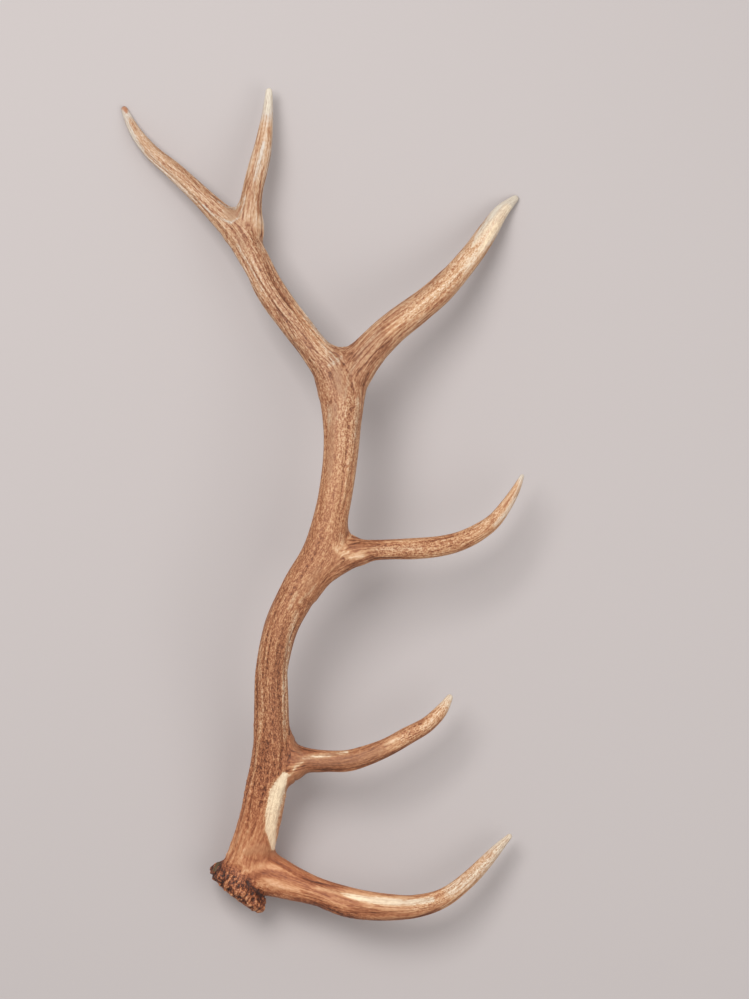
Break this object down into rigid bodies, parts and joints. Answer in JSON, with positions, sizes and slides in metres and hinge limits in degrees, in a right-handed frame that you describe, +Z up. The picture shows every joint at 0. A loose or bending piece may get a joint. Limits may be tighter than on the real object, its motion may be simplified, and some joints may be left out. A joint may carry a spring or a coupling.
{
  "type": "elk shed antler",
  "caption": "Elk shed antler lying on its inner side: knobbly burr, arched grooved beam, brow, bez, trez and royal tines and a forked crown.",
  "frame": {"origin": "bottom centre of the whole antler, on the surface that it lies on", "axes": "+Y from the burr to the crown, +X towards the tips of the lower tines, +Z up"},
  "size_m": [0.5254, 1.0844, 0.1666],
  "materials": {
    "antler": "weathered brown antler bone, grooved and pearled, worn to ivory on the tips and ridges, satin"
  },
  "bodies": {
    "root": {"beam": "antler", "brow_tine": "antler", "bez_tine": "antler", "trez_tine": "antler", "royal_tine": "antler", "upper_beam": "antler", "crown_tine": "antler"}
  },
  "joints": []
}
